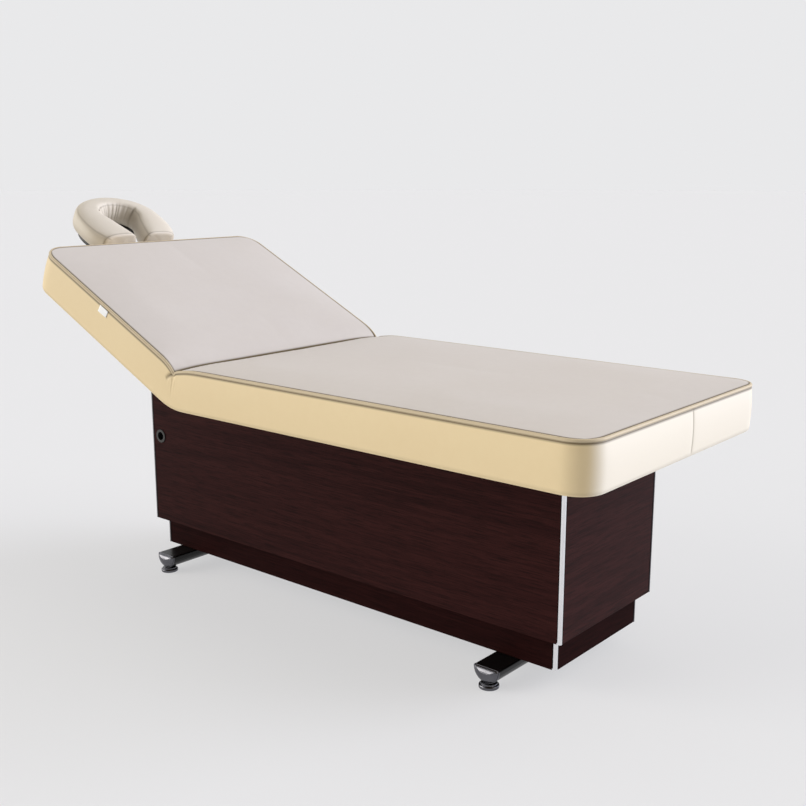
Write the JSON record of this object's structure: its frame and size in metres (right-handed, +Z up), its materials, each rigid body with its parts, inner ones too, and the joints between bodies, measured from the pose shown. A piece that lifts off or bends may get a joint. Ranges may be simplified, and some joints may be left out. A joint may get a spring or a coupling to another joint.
{
  "type": "facial treatment bed",
  "caption": "Cabinet treatment bed: padded top on a wood-faced lifting box, tilting backrest and a horseshoe face cradle, on two cross beams with levelling feet.",
  "frame": {"origin": "under the middle of the bounding box, at floor level", "axes": "+X to the foot end, +Y to the far long side, +Z up"},
  "size_m": [2.1076, 0.8, 1.0703],
  "materials": {
    "beam": "black, satin",
    "chrome": "polished",
    "wood": "dark wenge laminate, satin",
    "aluminium_profile": "satin bright",
    "column_tube": "anodised",
    "painted_frame": "grey powder coat",
    "steel_rod": "satin",
    "black_plastic": "fine grain",
    "plywood": "plain plywood",
    "upholstery": "greige and cream coated upholstery fabric over foam"
  },
  "bodies": {
    "base": {"beam_head": "beam", "beam_foot": "beam", "beam_cap_head_near": "chrome", "beam_cap_head_far": "chrome", "beam_cap_foot_near": "chrome", "beam_cap_foot_far": "chrome", "base_rail_near": "painted_frame", "base_rail_far": "painted_frame", "plinth_side_near": "wood", "plinth_side_far": "wood", "plinth_end_head": "wood", "plinth_end_foot": "wood", "plinth_corner_head_near": "aluminium_profile", "plinth_corner_head_far": "aluminium_profile", "plinth_corner_foot_near": "aluminium_profile", "plinth_corner_foot_far": "aluminium_profile", "mains_inlet": "black_plastic", "column_outer_head": "column_tube", "column_outer_foot": "column_tube", "control_box": "black_plastic"},
    "levelling_foot_head_near": {"foot_head_near": "chrome"},
    "levelling_foot_head_far": {"foot_head_far": "chrome"},
    "levelling_foot_foot_near": {"foot_foot_near": "chrome"},
    "levelling_foot_foot_far": {"foot_foot_far": "chrome"},
    "column_middle": {"column_middle_head": "column_tube", "column_middle_foot": "column_tube"},
    "upper": {"column_inner_head": "column_tube", "column_inner_foot": "column_tube", "upper_rail_near": "painted_frame", "upper_rail_far": "painted_frame", "cross_member_head": "painted_frame", "cross_member_foot": "painted_frame", "hinge_shaft": "steel_rod", "actuator_bracket": "painted_frame", "actuator_body": "black_plastic", "seat_board": "plywood", "seat_cushion": "upholstery", "fold_cushion": "upholstery", "cabinet_side_near": "wood", "cabinet_side_far": "wood", "cabinet_end_head": "wood", "cabinet_end_foot": "wood", "cabinet_corner_head_near": "aluminium_profile", "cabinet_corner_head_far": "aluminium_profile", "cabinet_corner_foot_near": "aluminium_profile", "cabinet_corner_foot_far": "aluminium_profile", "accessory_socket": "black_plastic"},
    "backrest": {"backrest_board": "plywood", "backrest_cushion": "upholstery", "backrest_arm_near": "painted_frame", "backrest_arm_far": "painted_frame", "cradle_sleeve_near": "painted_frame", "cradle_sleeve_far": "painted_frame"},
    "actuator_rod": {"actuator_rod": "chrome"},
    "slide_knob": {"cradle_slide_knob": "black_plastic"},
    "carriage": {"cradle_carriage": "steel_rod"},
    "tilt_knob": {"cradle_tilt_knob": "black_plastic"},
    "face_cradle": {"cradle_plate": "black_plastic", "face_cushion": "upholstery"}
  },
  "joints": [
    {"name": "foot_head_near_extend", "type": "slide", "parent": "base", "child": "levelling_foot_head_near", "axis": [0, 0, -1], "range_m": [0, 0.015]},
    {"name": "foot_head_far_extend", "type": "slide", "parent": "base", "child": "levelling_foot_head_far", "axis": [0, 0, -1], "range_m": [0, 0.015]},
    {"name": "foot_foot_near_extend", "type": "slide", "parent": "base", "child": "levelling_foot_foot_near", "axis": [0, 0, -1], "range_m": [0, 0.015]},
    {"name": "foot_foot_far_extend", "type": "slide", "parent": "base", "child": "levelling_foot_foot_far", "axis": [0, 0, -1], "range_m": [0, 0.015]},
    {"name": "bed_lift", "type": "slide", "parent": "base", "child": "upper", "axis": [0, 0, 1], "range_m": [0, 0.26]},
    {"name": "column_middle_lift", "type": "slide", "parent": "base", "child": "column_middle", "axis": [0, 0, 1], "range_m": [0, 0.1305]},
    {"name": "backrest_tilt", "type": "hinge", "parent": "upper", "child": "backrest", "pos_m": [-0.2107, 0, 0.5185], "axis": [0, 1, 0], "range_deg": [-25.8, 39.2], "deforming": ["fold_cushion"]},
    {"name": "actuator_extend", "type": "slide", "parent": "upper", "child": "actuator_rod", "axis": [-1, 0, 0], "range_m": [-0.0243, 0.0366]},
    {"name": "slide_knob_turn", "type": "hinge", "parent": "backrest", "child": "slide_knob", "pos_m": [-0.7552, -0.07, 0.7707], "axis": [0.4361, 0, 0.8999], "range_deg": [-180, 180]},
    {"name": "cradle_slide", "type": "slide", "parent": "backrest", "child": "carriage", "axis": [-0.8999, 0, 0.4361], "range_m": [0, 0.08]},
    {"name": "tilt_knob_turn", "type": "hinge", "parent": "carriage", "child": "tilt_knob", "pos_m": [-0.8815, -0.05, 0.877], "axis": [0, 1, 0], "range_deg": [-180, 180]},
    {"name": "cradle_tilt", "type": "hinge", "parent": "carriage", "child": "face_cradle", "pos_m": [-0.8815, 0, 0.877], "axis": [0, 1, 0], "range_deg": [-39, 8]}
  ],
  "couplings": [
    {"joint": "column_middle_lift", "follows": "bed_lift", "ratio": 0.5},
    {"joint": "actuator_extend", "follows": "backrest_tilt", "m_per_rad": 0.0528}
  ]
}
